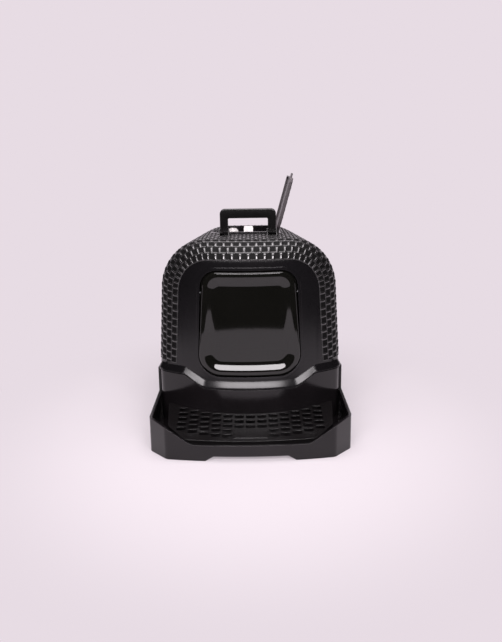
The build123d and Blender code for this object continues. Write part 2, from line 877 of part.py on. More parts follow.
# Storage bin: drops into the hole in the hood's top and hangs by its rim
fit = 0.3
rim_corner = bin_corner + bin_rim
rim_top_z = hood_top_z + bin_rim_height
with BuildPart() as storage_bin:
    add(
        rounded_box(
            bin_left - bin_rim,
            bin_right + bin_rim,
            bin_front - bin_rim,
            bin_rear + bin_rim,
            hood_top_z,
            rim_top_z,
            rim_corner,
        )
    )
    add(
        rounded_box(
            bin_left + fit,
            bin_right - fit,
            bin_front + fit,
            bin_rear - fit,
            bin_floor_z,
            hood_top_z,
            bin_corner,
        )
    )
    thick = fit + bin_wall
    add(
        rounded_box(
            bin_left + thick,
            bin_right - thick,
            bin_front + thick,
            bin_rear - thick,
            bin_floor_z + bin_wall,
            rim_top_z,
            bin_corner - bin_wall,
        ),
        mode=Mode.SUBTRACT,
    )
storage_bin.part.label = "storage_bin"
export_step(storage_bin.part, "parts/storage_bin.step")

# Lid: drawn shut over the bin, then turned up on its hinge to where it stands open
lid_low_z = hood_top_z + lid_lift
with BuildPart() as top_lid:
    add(rounded_box(lid_left, lid_right, lid_front, lid_rear, lid_low_z, lid_low_z + lid_height, lid_corner))
    fillet(top_lid.faces().sort_by(Axis.Z)[-1].edges(), lid_edge)
    add(
        rounded_box(
            lid_left + lid_wall,
            lid_right - lid_wall,
            lid_front + lid_wall,
            lid_rear - lid_wall,
            lid_low_z,
            lid_low_z + lid_height - lid_skin,
            lid_corner - lid_wall,
        ),
        mode=Mode.SUBTRACT,
    )
    with Locations((lid_left + 2, finger_recess_y, lid_low_z + lid_height)):  # finger lip
        Box(lid_lip + 2, 2 * lid_lip_half, lid_skin, align=(Align.MAX, Align.CENTER, Align.MAX))
    for front, rear in hinge_spans:
        with Locations((lid_right - 1, front, hinge_z)):
            Box(hinge_x - lid_right + 1, rear - front, knuckle_radius, align=Align.MIN)
        add(along_rod(knuckle_radius, front, rear, hinge_x, hinge_z))
        bore = along_rod(lid_pin_radius + pivot_clearance, front - 1, rear + 1, hinge_x, hinge_z)
        add(bore, mode=Mode.SUBTRACT)
hinge_axis = Axis((hinge_x, 0, hinge_z), (0, 1, 0))
open_lid = top_lid.part.rotate(hinge_axis, lid_open)
open_lid.label = "top_lid"
export_step(open_lid, "parts/top_lid.step")

for (front, rear), name in zip(hinge_spans, ("lid_pin_front", "lid_pin_rear")):
    reach = knuckle_gap + lug_length - 0.5
    lid_pin = along_rod(lid_pin_radius, front - reach, rear + reach, hinge_x, hinge_z)
    lid_pin.label = name
    export_step(lid_pin, "parts/" + name + ".step")

# Litter scoop: an open slotted head in the bin, with a strap handle that rises to the rear
scoop_floor_z = bin_floor_z + bin_wall + fit
scoop_rear_y = scoop_front_y + scoop_head_length
with BuildPart() as litter_scoop:
    add(
        rounded_box(
            scoop_x - scoop_head_half,
            scoop_x + scoop_head_half,
            scoop_front_y,
            scoop_rear_y,
            scoop_floor_z,
            scoop_floor_z + scoop_head_height,
            6,
        )
    )
    add(
        rounded_box(
            scoop_x - scoop_head_half + scoop_wall,
            scoop_x + scoop_head_half - scoop_wall,
            scoop_front_y - 10,
            scoop_rear_y - scoop_wall,
            scoop_floor_z + scoop_wall,
            hood_top_z,
            4,
        ),
        mode=Mode.SUBTRACT,
    )
    with BuildSketch(Plane.XY.offset(scoop_floor_z)):
        with Locations((scoop_x, scoop_front_y + 29)):
            with GridLocations(8.5, 1, 6, 1):
                SlotOverall(42, 4, rotation=90)
    extrude(amount=scoop_wall + 1, mode=Mode.SUBTRACT)
    with BuildSketch(Plane.YZ.offset(scoop_x - scoop_handle_half)) as strap:
        with BuildLine():
            Polyline(
                (scoop_rear_y - 1.5, scoop_floor_z + 12),
                (scoop_rear_y - 1.5, scoop_floor_z + 12 + scoop_handle_thickness),
                (scoop_end_y - 4, scoop_end_z),
                (scoop_end_y, scoop_end_z - scoop_handle_thickness + 1),
                close=True,
            )
        make_face()
    extrude(amount=2 * scoop_handle_half)
    with BuildSketch(Plane.XY.offset(scoop_floor_z)):
        with Locations((scoop_x, (scoop_front_y + scoop_rear_y) / 2)):
            RectangleRounded(2 * scoop_head_half, scoop_head_length, 6)
        with Locations((scoop_x, (scoop_rear_y - 10 + scoop_end_y) / 2)):
            RectangleRounded(2 * scoop_handle_half, scoop_end_y - scoop_rear_y + 10, scoop_handle_half - 0.5)
    extrude(amount=hood_top_z, mode=Mode.INTERSECT)
litter_scoop.part.label = "litter_scoop"
export_step(litter_scoop.part, "parts/litter_scoop.step")

# Deodoriser: a cup that stands in the bin, a core inside it and a domed cap
with BuildPart() as deodoriser_cup:
    add(upright_rod(cup_radius, cup_x, cup_y, scoop_floor_z, cup_top_z))
    add(upright_rod(cup_radius - 1.6, cup_x, cup_y, scoop_floor_z + 2, cup_top_z), mode=Mode.SUBTRACT)
deodoriser_cup.part.label = "deodoriser_cup"
export_step(deodoriser_cup.part, "parts/deodoriser_cup.step")

with BuildPart() as deodoriser_cap:
    with BuildSketch(Plane.XZ.offset(-cup_y)) as dome:
        with Locations((cup_x, cup_top_z)):
            Rectangle(cup_radius, cap_top_z - cup_top_z, align=(Align.MIN, Align.MIN))
        fillet(dome.vertices().sort_by(lambda v: v.X + v.Y)[-1], 10)
    revolve(axis=Axis((cup_x, cup_y, 0), (0, 0, 1)))
    add(upright_rod(cup_radius - 3, cup_x, cup_y, cup_top_z - 1, cap_top_z - 4), mode=Mode.SUBTRACT)
    with BuildSketch(Plane.XY.offset(cap_top_z - 5)):
        with Locations((cup_x, cup_y)):
            with PolarLocations(6.5, 6):
                SlotOverall(6, 2)
    extrude(amount=8, mode=Mode.SUBTRACT)
deodoriser_cap.part.label = "deodoriser_cap"
export_step(deodoriser_cap.part, "parts/deodoriser_cap.step")

deodoriser_core = upright_rod(cup_radius - 2.6, cup_x, cup_y, scoop_floor_z + 2.4, cup_top_z - 4)
deodoriser_core.label = "deodoriser_core"
export_step(deodoriser_core, "parts/deodoriser_core.step")
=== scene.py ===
import math

import bmesh
import bpy
from mathutils import Matrix, Vector
from mathutils.bvhtree import BVHTree


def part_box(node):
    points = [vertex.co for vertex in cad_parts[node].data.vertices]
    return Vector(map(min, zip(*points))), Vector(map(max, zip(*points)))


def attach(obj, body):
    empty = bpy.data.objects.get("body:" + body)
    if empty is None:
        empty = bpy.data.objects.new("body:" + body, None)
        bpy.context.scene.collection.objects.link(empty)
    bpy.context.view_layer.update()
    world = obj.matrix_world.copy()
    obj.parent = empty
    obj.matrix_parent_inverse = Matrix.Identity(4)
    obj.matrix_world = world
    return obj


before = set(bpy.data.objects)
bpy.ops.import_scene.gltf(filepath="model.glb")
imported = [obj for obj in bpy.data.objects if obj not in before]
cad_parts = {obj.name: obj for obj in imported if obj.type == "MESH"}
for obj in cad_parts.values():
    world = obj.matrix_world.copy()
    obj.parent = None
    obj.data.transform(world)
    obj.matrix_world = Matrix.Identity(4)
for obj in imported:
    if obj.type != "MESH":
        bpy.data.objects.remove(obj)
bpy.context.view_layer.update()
print("frame loaded")

scene = bpy.context.scene
scene.view_settings.view_transform = "Standard"


# camera: stands about 1.3 m in front of the step, a little above the handle
cameraSetup = {
    "place": (0.0038, -1.5428, 0.5915),
    "tilt": 76.4,
    "roll": -0.78,
    "lens": 39.1,
    "sensor": 36.0,
}


def addCamera():
    data = bpy.data.cameras.new("camera")
    data.lens = cameraSetup["lens"]
    data.sensor_width = cameraSetup["sensor"]
    camera = bpy.data.objects.new("camera", data)
    look = Matrix.Rotation(math.radians(cameraSetup["tilt"]), 4, "X")
    look = look @ Matrix.Rotation(math.radians(cameraSetup["roll"]), 4, "Z")
    camera.matrix_world = Matrix.Translation(cameraSetup["place"]) @ look
    scene.collection.objects.link(camera)
    scene.camera = camera


addCamera()
print("camera placed")


# a material with small helpers that add and join its nodes
class NodeMat:
    def __init__(self, name):
        self.mat = bpy.data.materials.new(name)
        self.mat.use_nodes = True
        self.nodes = self.mat.node_tree.nodes
        self.links = self.mat.node_tree.links
        self.nodes.clear()
        self.out = self.nodes.new("ShaderNodeOutputMaterial")
        self.coords = self.nodes.new("ShaderNodeTexCoord").outputs["Object"]

    def add(self, kind, **values):
        node = self.nodes.new(kind)
        for key, value in values.items():
            if key in node.inputs:
                node.inputs[key].default_value = value
            else:
                setattr(node, key, value)
        return node

    def link(self, source, target):
        self.links.new(source, target)

    def noise(self, scale, detail=3.0, rough=0.55):
        node = self.add("ShaderNodeTexNoise", Scale=scale, Detail=detail, Roughness=rough)
        self.link(self.coords, node.inputs["Vector"])
        return node.outputs["Fac"]

    def ramp(self, source, low, high, stops=(0.3, 0.7)):
        node = self.nodes.new("ShaderNodeValToRGB")
        node.color_ramp.elements[0].position, node.color_ramp.elements[1].position = stops
        node.color_ramp.elements[0].color = (*low, 1)
        node.color_ramp.elements[1].color = (*high, 1)
        self.link(source, node.inputs["Fac"])
        return node.outputs["Color"]

    def span(self, source, low, high):
        node = self.add("ShaderNodeMapRange")
        node.inputs["To Min"].default_value = low
        node.inputs["To Max"].default_value = high
        self.link(source, node.inputs["Value"])
        return node.outputs["Result"]

    def bump(self, source, strength, distance, under=None):
        node = self.add("ShaderNodeBump", Strength=strength, Distance=distance)
        self.link(source, node.inputs["Height"])
        if under:
            self.link(under, node.inputs["Normal"])
        return node.outputs["Normal"]

    def scaled(self, tone, share):
        node = self.add("ShaderNodeVectorMath", operation="SCALE")
        self.link(tone, node.inputs[0])
        self.link(share, node.inputs["Scale"])
        return node.outputs["Vector"]

    def sum(self, first, second):
        node = self.add("ShaderNodeMath", operation="ADD")
        self.link(first, node.inputs[0])
        self.link(second, node.inputs[1])
        return node.outputs["Value"]

    def shader(self, **values):
        return self.add("ShaderNodeBsdfPrincipled", **values)

    def done(self, shader):
        self.link(shader.outputs[0], self.out.inputs["Surface"])
        return self.mat


# moulded plastics: the colour drifts a little, the sheen has a fine grain, the edges are soft
moulding = {
    "drift": 0.15,
    "driftScale": 14.0,
    "sheenScale": 60.0,
    "grainScale": 2600.0,
    "grainDepth": 0.0004,
    "softEdge": 0.0012,
}

# the weave's pockets get painted shade, their tone darkened, and they are dull; its strands are shiny
pocket = {
    # share of the tone that the pockets keep: painted shade
    "tone": 0.2,
    "addedRough": 0.45,
    "specular": 0.11,
    "ior": 1.65,
}

plastics = {
    "hoodBlack": {"tone": (0.0062, 0.0056, 0.0064), "rough": (0.19, 0.25), "grain": 0.03},
    # the weave's tone is set lighter than the hood's plain plastic as a painted highlight on its strands
    "weaveBlack": {"tone": (0.0110, 0.0096, 0.0104), "rough": (0.16, 0.22), "grain": 0.03},
    "stepBlack": {"tone": (0.0085, 0.0072, 0.0080), "rough": (0.12, 0.17), "grain": 0.02},
    "matBlack": {"tone": (0.0070, 0.0062, 0.0065), "rough": (0.14, 0.20), "grain": 0.03},
    "handleBlack": {"tone": (0.0035, 0.0030, 0.0032), "rough": (0.18, 0.24), "grain": 0.02},
    "lidBlack": {"tone": (0.062, 0.050, 0.056), "rough": (0.32, 0.44), "grain": 0.10},
    "binBlack": {"tone": (0.010, 0.009, 0.010), "rough": (0.13, 0.18), "grain": 0.03},
    "whitePlastic": {"tone": (0.72, 0.70, 0.69), "rough": (0.36, 0.46), "grain": 0.06},
    "pinGrey": {"tone": (0.20, 0.20, 0.21), "rough": (0.28, 0.38), "grain": 0.05},
    "coreGreen": {"tone": (0.46, 0.54, 0.42), "rough": (0.8, 0.95), "grain": 0.5},
}


def plastic(name):
    look = plastics[name]
    m = NodeMat(name)
    body = m.shader()
    low = tuple(value * (1 - moulding["drift"]) for value in look["tone"])
    high = tuple(value * (1 + moulding["drift"]) for value in look["tone"])
    tone = m.ramp(m.noise(moulding["driftScale"]), low, high)
    sheen = m.span(m.noise(moulding["sheenScale"], 4.0), *look["rough"])
    if name == "weaveBlack":
        # painted shade: where the strands' mask is low, in the pockets, the tone is darkened; there they
        # are also dull and reflect less
        raised = m.add("ShaderNodeAttribute", attribute_name="shineAndShade").outputs["Fac"]
        tone = m.scaled(tone, m.span(raised, pocket["tone"], 1.0))
        sheen = m.sum(sheen, m.span(raised, pocket["addedRough"], 0.0))
        m.link(m.span(raised, pocket["specular"], 1.0), body.inputs["Specular IOR Level"])
        body.inputs["IOR"].default_value = pocket["ior"]
    m.link(tone, body.inputs["Base Color"])
    m.link(sheen, body.inputs["Roughness"])
    soft = m.add("ShaderNodeBevel", samples=4, Radius=moulding["softEdge"]).outputs["Normal"]
    grained = m.bump(m.noise(moulding["grainScale"], 2.0), look["grain"], moulding["grainDepth"], soft)
    m.link(grained, body.inputs["Normal"])
    return m.done(body)


# smoked plastic of the door: nearly black, glossy, a little clear, with a slow waviness
smoked = {
    "low": (0.0060, 0.0060, 0.0048),
    "high": (0.0085, 0.0082, 0.0070),
    "rough": 0.05,
    "ior": 1.62,
    "clear": 0.25,
    "waves": 9.0,
    "waveStrength": 0.04,
    "waveDepth": 0.004,
}


def smokedDoor():
    m = NodeMat("smokedDoor")
    body = m.shader(Roughness=smoked["rough"])
    body.inputs["IOR"].default_value = smoked["ior"]
    body.inputs["Transmission Weight"].default_value = smoked["clear"]
    m.link(m.ramp(m.noise(6.0), smoked["low"], smoked["high"]), body.inputs["Base Color"])
    wavy = m.bump(m.noise(smoked["waves"], 1.0), smoked["waveStrength"], smoked["waveDepth"])
    m.link(wavy, body.inputs["Normal"])
    return m.done(body)


steel = {"low": (0.42, 0.42, 0.43), "high": (0.58, 0.58, 0.6), "rough": (0.25, 0.4)}


def screwSteel():
    m = NodeMat("screwSteel")
    body = m.shader(Metallic=1.0)
    m.link(m.ramp(m.noise(300.0), steel["low"], steel["high"]), body.inputs["Base Color"])
    m.link(m.span(m.noise(900.0), *steel["rough"]), body.inputs["Roughness"])
    return m.done(body)


finish = {name: plastic(name) for name in plastics}
finish["smokedDoor"] = smokedDoor()
finish["screwSteel"] = screwSteel()

nodeFinish = {
    "base_frame": "hoodBlack",
    "drawer": "stepBlack",
    "step_mat": "matBlack",
    "hood_shell": "hoodBlack",
    "storage_bin": "binBlack",
    "door_flap": "smokedDoor",
    "flap_pin_left": "pinGrey",
    "flap_pin_right": "pinGrey",
    "carry_handle": "handleBlack",
    "handle_pin_left": "pinGrey",
    "handle_pin_right": "pinGrey",
    "handle_bracket_left": "handleBlack",
    "handle_bracket_right": "handleBlack",
    "bracket_screws": "screwSteel",
    "top_lid": "lidBlack",
    "lid_pin_front": "pinGrey",
    "lid_pin_rear": "pinGrey",
    "litter_scoop": "whitePlastic",
    "deodoriser_cup": "whitePlastic",
    "deodoriser_cap": "whitePlastic",
    "deodoriser_core": "coreGreen",
}


# small rounded edges that catch the light
edges = {
    "weld": 0.00001,
    "segments": 2,
    "roundAbove": math.radians(40),
    "splitAbove": math.radians(28),
}

edgeWidths = {
    "base_frame": 0.0006,
    "drawer": 0.0009,
    "step_mat": 0.0006,
    "hood_shell": 0.0009,
    "storage_bin": 0.0006,
    "top_lid": 0.0004,
    "handle_bracket_left": 0.0004,
    "handle_bracket_right": 0.0004,
    "litter_scoop": 0.0004,
    "deodoriser_cap": 0.0004,
}


def dressNode(name, finishName):
    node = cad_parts[name]
    node.data.materials.clear()
    node.data.materials.append(finish[finishName])
    for face in node.data.polygons:
        face.use_smooth = True
    weld = node.modifiers.new("weld", "WELD")
    weld.merge_threshold = edges["weld"]
    if name in edgeWidths:
        rounding = node.modifiers.new("rounding", "BEVEL")
        rounding.width = edgeWidths[name]
        rounding.segments = edges["segments"]
        rounding.angle_limit = edges["roundAbove"]
        rounding.miter_outer = "MITER_ARC"
    split = node.modifiers.new("split", "EDGE_SPLIT")
    split.split_angle = edges["splitAbove"]
    if name in edgeWidths:
        even = node.modifiers.new("even", "WEIGHTED_NORMAL")
        even.keep_sharp = True


for nodeName, finishName in nodeFinish.items():
    dressNode(nodeName, finishName)
print("frame pieces dressed")


# shared mesh helpers
def pieceFrom(bm, name, body, finishName):
    for face in bm.faces:
        face.smooth = True
    mesh = bpy.data.meshes.new(name)
    bm.to_mesh(mesh)
    bm.free()
    piece = bpy.data.objects.new(name, mesh)
    scene.collection.objects.link(piece)
    mesh.materials.append(finish[finishName])
    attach(piece, body)
    return piece


def mergedTree(nodeName):
    bm = bmesh.new()
    bm.from_mesh(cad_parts[nodeName].data)
    bmesh.ops.remove_doubles(bm, verts=bm.verts, dist=edges["weld"])
    tree = BVHTree.FromBMesh(bm)
    bm.free()
    return tree


# grid of faces whose vertices are returned by row, ready to be placed
def sheetGrid(columns, rows):
    bm = bmesh.new()
    bm.verts.layers.float.new("shineAndShade")
    made = bmesh.ops.create_grid(bm, x_segments=columns - 1, y_segments=rows - 1, size=1.0)
    byRow = sorted(made["verts"], key=lambda v: (round(v.co.y * 1e4), v.co.x))
    return bm, [byRow[k * columns : (k + 1) * columns] for k in range(rows)]


# smooth step from 0 at low to 1 at high
def rise(value, low, high):
    t = min(1.0, max(0.0, (value - low) / (high - low)))
    return t * t * (3 - 2 * t)


# woven relief: strands run front to back in rows that are staggered by half a strand's pitch
weave = {
    "pitch": 0.0170,  # from strand to strand
    "row": 0.0155,  # from row to row
    "strand": 0.0017,  # heights of the strands, the cross strands and the pockets
    "cross": 0.0010,
    "pocket": 0.0003,
    "strandHalf": 0.20,  # half width of a strand, in pitches
    "strandStart": 0.05,  # rounded ends of the strands and edges of the cross strands, in rows
    "strandEnd": 0.06,
    "crossStart": 0.06,
    "crossEnd": 0.18,
    "crossShineAndShade": 0.6,  # how shiny the cross strands are beside the strands, and how much of the tone they keep against the painted shade
    "sink": 0.0006,  # depth of the border under the surface
    "fade": 0.0018,  # width over which a full strand rises out of the border
    "acrossStops": (0.0, 0.12, 0.20, 0.30, 0.38, 0.5, 0.62, 0.70, 0.80, 0.88),
    "alongStops": (0.0, 0.06, 0.15, 0.24, 0.30, 0.62, 0.94),
}


# height of the relief at a place counted in strand pitches and rows, and how shiny the place is, which
# also sets how little painted shade its tone gets
def weaveHeight(across, along):
    row = math.floor(along + 1e-6)
    t = along - row
    shifted = across + (0.5 if row % 2 else 0.0)
    s = abs(shifted - round(shifted))
    strand = math.sqrt(max(0.0, 1 - (s / weave["strandHalf"]) ** 2))
    strand *= rise(t, 0.0, weave["strandStart"]) * rise(1 - t, 0.0, weave["strandEnd"])
    cross = rise(t, 0.0, weave["crossStart"]) * rise(weave["crossEnd"] - t, -weave["crossStart"], 0.0)
    height = max(weave["strand"] * strand, weave["cross"] * cross)
    return weave["pocket"] + height, min(1.0, max(strand, weave["crossShineAndShade"] * cross))


# the relief sinks into the surface at its border
def faded(height, border):
    return max(-weave["sink"], min(height, border / weave["fade"] * weave["strand"] - weave["sink"]))


# the same stops within each of count cells
def stops(count, within):
    return [k + t for k in range(count) for t in within] + [float(count)]


# the arch is traced with rays toward its centre, and the weave is laid along it and over both shoulders
hoodForm = {
    "centreZ": 0.27,
    "referenceY": -0.042,  # depth at which the arch is traced
    "frontShoulder": 0.045,  # radius of the shoulder
    "rearShoulder": 0.076,
    "rearY": 0.269,  # plane of the hood's back
    "strandsEachSide": 24,
    "frontStart": math.radians(8.0),  # turn at which the first row starts
    "frontRows": 4,
    "rearEnd": math.radians(26.0),  # turn that is left plain at the back
    "topRows": 23,
    "raysEachSide": 640,
    "rayStep": math.radians(0.195),
    "rayStart": 0.4,  # distance of a ray's start from the centre
    "tangentReach": 5,  # traced points on each side that give the arch's direction
    "frontView": -0.5,  # depth from which the front face is sought
    "reach": 0.05,  # height from which the surface is sought
}


# points and normals along the hood's arch at its reference depth, one for each weave column
def hoodOutline(tree):
    raw = []
    rays, reach = hoodForm["raysEachSide"], hoodForm["tangentReach"]
    centre = Vector((0, hoodForm["referenceY"], hoodForm["centreZ"]))
    for k in range(-rays, rays + 1):
        angle = k * hoodForm["rayStep"]
        out = Vector((math.sin(angle), 0, math.cos(angle)))
        raw.append(tree.ray_cast(centre + out * hoodForm["rayStart"], -out)[0])
    lengths = [0.0]
    for a, b in zip(raw, raw[1:]):
        lengths.append(lengths[-1] + (b - a).length)
    middle = lengths[rays]
    side = hoodForm["strandsEachSide"]
    outline = []
    index = 0
    for column in [c - side for c in stops(2 * side, weave["acrossStops"])]:
        target = middle + column * weave["pitch"]
        while index < len(raw) - 2 and lengths[index + 1] < target:
            index += 1
        part = (target - lengths[index]) / (lengths[index + 1] - lengths[index])
        place = raw[index].lerp(raw[index + 1], part)
        low, high = raw[max(0, index - reach)], raw[min(len(raw) - 1, index + reach + 1)]
        along = (high - low).normalized()
        outline.append((column, place, Vector((-along.z, 0, along.x))))
    return outline


# the hood's top stays plain around the bin and the brackets, at the lid's hinge and at the finger recess
plain = {
    "borders": {"storage_bin": 0.0085, "handle_bracket_left": 0.0015, "handle_bracket_right": 0.0015},
    "hingeWidth": 0.017,
    "recessLeft": -0.0865,
    "recessFront": 0.061,
    "recessRear": 0.115,
    "aboveZ": 0.405,
    "overlap": 0.001,
}


# the plain areas as boxes in plan: left, right, front, rear
def plainAreas():
    areas = []
    for node, grow in plain["borders"].items():
        low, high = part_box(node)
        areas.append((low.x - grow, high.x + grow, low.y - grow, high.y + grow))
    low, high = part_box("storage_bin")
    areas.append((high.x, high.x + plain["hingeWidth"], low.y, high.y))
    areas.append((plain["recessLeft"], low.x, plain["recessFront"], plain["recessRear"]))
    return areas


# distance in plan from the nearest plain area, negative inside it
def clearance(x, y, areas):
    nearest = 1.0
    for left, right, front, rear in areas:
        nearest = min(nearest, max(left - x, x - right, front - y, y - rear))
    return nearest


def inPlainArea(place, areas):
    return place.z > plain["aboveZ"] and clearance(place.x, place.y, areas) < -plain["overlap"]


# place and outward direction on a rounded shoulder: toward is -1 at the front and 1 at the rear
def onShoulder(crown, normal, radius, turn, toward):
    out = normal * math.sin(turn) + Vector((0, toward, 0)) * math.cos(turn)
    return crown - normal * radius + out * radius, out


def addHoodWeave():
    tree = mergedTree("hood_shell")
    reach = hoodForm["reach"]
    outline = hoodOutline(tree)
    areas = plainAreas()
    alongStops = stops(hoodForm["frontRows"] + hoodForm["topRows"], weave["alongStops"])
    bm, grid = sheetGrid(len(outline), len(alongStops))
    shineAndShadeLayer = bm.verts.layers.float["shineAndShade"]
    shoulder, rearShoulder = hoodForm["frontShoulder"], hoodForm["rearShoulder"]
    frontTurn = hoodForm["frontRows"] * weave["row"] / shoulder
    frontSpan = math.pi / 2 - hoodForm["frontStart"]
    rearSpan = math.pi / 2 - hoodForm["rearEnd"]
    for c, (column, place, normal) in enumerate(outline):
        middle = place - normal * shoulder
        face = tree.ray_cast(Vector((middle.x, hoodForm["frontView"], middle.z)), Vector((0, 1, 0)))[0]
        startY = face.y + shoulder
        endY = hoodForm["rearY"] - rearShoulder
        # the crowns are the arch's own points at the depths where the shoulders begin
        crown = tree.ray_cast(Vector((place.x, startY, place.z)) + normal * reach, -normal)[0]
        rearCrown = tree.ray_cast(Vector((place.x, endY, place.z)) + normal * reach, -normal)[0]
        level = endY - startY
        total = (frontSpan - frontTurn) * shoulder + level + rearSpan * rearShoulder
        for k, along in enumerate(alongStops):
            if along <= hoodForm["frontRows"]:
                travel = along * weave["row"]
            else:
                share = (along - hoodForm["frontRows"]) / hoodForm["topRows"]
                travel = frontTurn * shoulder + share * total
            if travel < frontSpan * shoulder:
                turn = hoodForm["frontStart"] + travel / shoulder
                nominal, out = onShoulder(crown, normal, shoulder, turn, -1)
            elif travel < frontSpan * shoulder + level:
                out = normal
                y = startY + travel - frontSpan * shoulder
                nominal = Vector((place.x, y, place.z))
            else:
                turn = math.pi / 2 - (travel - frontSpan * shoulder - level) / rearShoulder
                nominal, out = onShoulder(rearCrown, normal, rearShoulder, turn, 1)
            hit = tree.ray_cast(nominal + out * reach, -out, 2 * reach)[0] or nominal
            height, shineAndShade = weaveHeight(column, along)
            border = min(
                along * weave["row"],
                (alongStops[-1] - along) * weave["row"],
                (hoodForm["strandsEachSide"] - abs(column)) * weave["pitch"],
            )
            if hit.z > plain["aboveZ"]:
                border = min(border, clearance(hit.x, hit.y, areas))
            vertex = grid[k][c]
            vertex.co = hit + out * faded(height, border)
            vertex[shineAndShadeLayer] = shineAndShade
    hidden = [face for face in bm.faces if all(inPlainArea(v.co, areas) for v in face.verts)]
    bmesh.ops.delete(bm, geom=hidden, context="FACES")
    bmesh.ops.recalc_face_normals(bm, faces=bm.faces)
    return pieceFrom(bm, "hoodWeave", "hood", "weaveBlack")


hoodWeave = addHoodWeave()
print("hood weave:", len(hoodWeave.data.polygons), "faces")


# lid weave: the same relief on the lid's outer face, drawn shut and turned up with the lid
lidForm = {
    "strandsEachSide": 3,
    "rows": 8,
    "frontY": 0.0255,
    "topZ": 0.4225,
    "hingeX": 0.0652,
    "hingeZ": 0.419,
    "open": math.radians(105.6),
}


def addLidWeave():
    side, rows = lidForm["strandsEachSide"], lidForm["rows"]
    columns = [c - side for c in stops(2 * side, weave["acrossStops"])]
    alongStops = stops(rows, weave["alongStops"])
    bm, grid = sheetGrid(len(columns), len(alongStops))
    shineAndShadeLayer = bm.verts.layers.float["shineAndShade"]
    for k, along in enumerate(alongStops):
        for c, column in enumerate(columns):
            height, shineAndShade = weaveHeight(column, along)
            border = min(along, rows - along) * weave["row"]
            border = min(border, (side - abs(column)) * weave["pitch"])
            x = column * weave["pitch"]
            y = lidForm["frontY"] + along * weave["row"]
            vertex = grid[k][c]
            vertex.co = (x, y, lidForm["topZ"] + faded(height, border))
            vertex[shineAndShadeLayer] = shineAndShade
    hinge = Matrix.Translation((lidForm["hingeX"], 0, lidForm["hingeZ"]))
    turn = hinge @ Matrix.Rotation(lidForm["open"], 4, "Y") @ hinge.inverted()
    bmesh.ops.transform(bm, matrix=turn, verts=bm.verts)
    return pieceFrom(bm, "lidWeave", "lid", "weaveBlack")


lidWeave = addLidWeave()
print("lid weave:", len(lidWeave.data.polygons), "faces")


# door pane: a raised border whose inner slope runs down to the pane's middle
pane = {
    "noseY": -0.1278,  # foremost line of the bow
    "radius": 0.3078,  # of the bow
    "topZ": 0.3535,
    "lowZ": 0.1285,
    "midZ": 0.235,
    "halfMid": 0.1045,  # half width at midZ
    "slope": 0.049,  # how fast the half width shrinks upwards
    "topCorner": 0.034,
    "lowCorner": 0.044,
    "cornerShare": 0.8,  # how fast the corners tighten inwards
    "cornerSteps": 12,
    "sideSteps": 12,
    "sideOver": 0.02,  # stretches longer than this are cut into sideSteps
    "rest": 0.0004,  # height of the middle over the flap
    "tilt": 0.45,  # steepest slope
    "rim": 0.0090,  # distances from the edge: end of the flat rim, steepest part, start of the middle
    "steepStart": 0.0155,
    "steepEnd": 0.0220,
    "flat": 0.0330,
    "edgeStart": -0.001,  # rounding of the outer edge
    "edgeEnd": 0.0030,
    "edgeDrop": 0.0012,
    "liftStep": 0.0001,
    "weld": 0.000005,
    "middleRings": 14,
    "insets": (
        0.0002, 0.0007, 0.0016, 0.003, 0.005, 0.007, 0.009, 0.0105, 0.012, 0.0135, 0.0155,
        0.0177, 0.020, 0.022, 0.0235, 0.025, 0.0265, 0.028, 0.0295, 0.031, 0.033, 0.036,
    ),
}


# closed outline of the pane in front view, drawn in by inset
def paneOutline(inset):
    top = pane["topZ"] - inset
    low = pane["lowZ"] + inset
    halfTop = pane["halfMid"] - pane["slope"] * (top - pane["midZ"]) - inset
    halfLow = pane["halfMid"] + pane["slope"] * (pane["midZ"] - low) - inset
    topCorner = pane["topCorner"] - inset * pane["cornerShare"]
    lowCorner = pane["lowCorner"] - inset * pane["cornerShare"]
    corners = (
        (halfLow - lowCorner, low + lowCorner, lowCorner, -90),
        (halfTop - topCorner, top - topCorner, topCorner, 0),
        (-halfTop + topCorner, top - topCorner, topCorner, 90),
        (-halfLow + lowCorner, low + lowCorner, lowCorner, 180),
    )
    points = []
    for x, z, radius, start in corners:
        for k in range(pane["cornerSteps"] + 1):
            angle = math.radians(start + 90 * k / pane["cornerSteps"])
            points.append((x + radius * math.cos(angle), z + radius * math.sin(angle)))
    closed = []
    for (x0, z0), (x1, z1) in zip(points, points[1:] + points[:1]):
        steps = pane["sideSteps"] if math.hypot(x1 - x0, z1 - z0) > pane["sideOver"] else 1
        for k in range(steps):
            closed.append((x0 + (x1 - x0) * k / steps, z0 + (z1 - z0) * k / steps))
    return closed


# how steeply the pane falls away at this distance from its edge
def paneSlope(inset):
    if inset < pane["steepStart"]:
        return pane["tilt"] * rise(inset, pane["rim"], pane["steepStart"])
    if inset < pane["steepEnd"]:
        return pane["tilt"]
    return pane["tilt"] * max(0.0, (pane["flat"] - inset) / (pane["flat"] - pane["steepEnd"]))


# height of the pane over its middle: a rounded raised rim, then a slope down to the flat middle
def paneLift(inset):
    fall = 0.0
    place = pane["flat"]
    while place > max(inset, 0.0):
        place -= pane["liftStep"]
        fall += paneSlope(place) * pane["liftStep"]
    edge = rise(inset, pane["edgeStart"], pane["edgeEnd"])
    return pane["rest"] + fall * edge - pane["edgeDrop"] * (1 - edge)


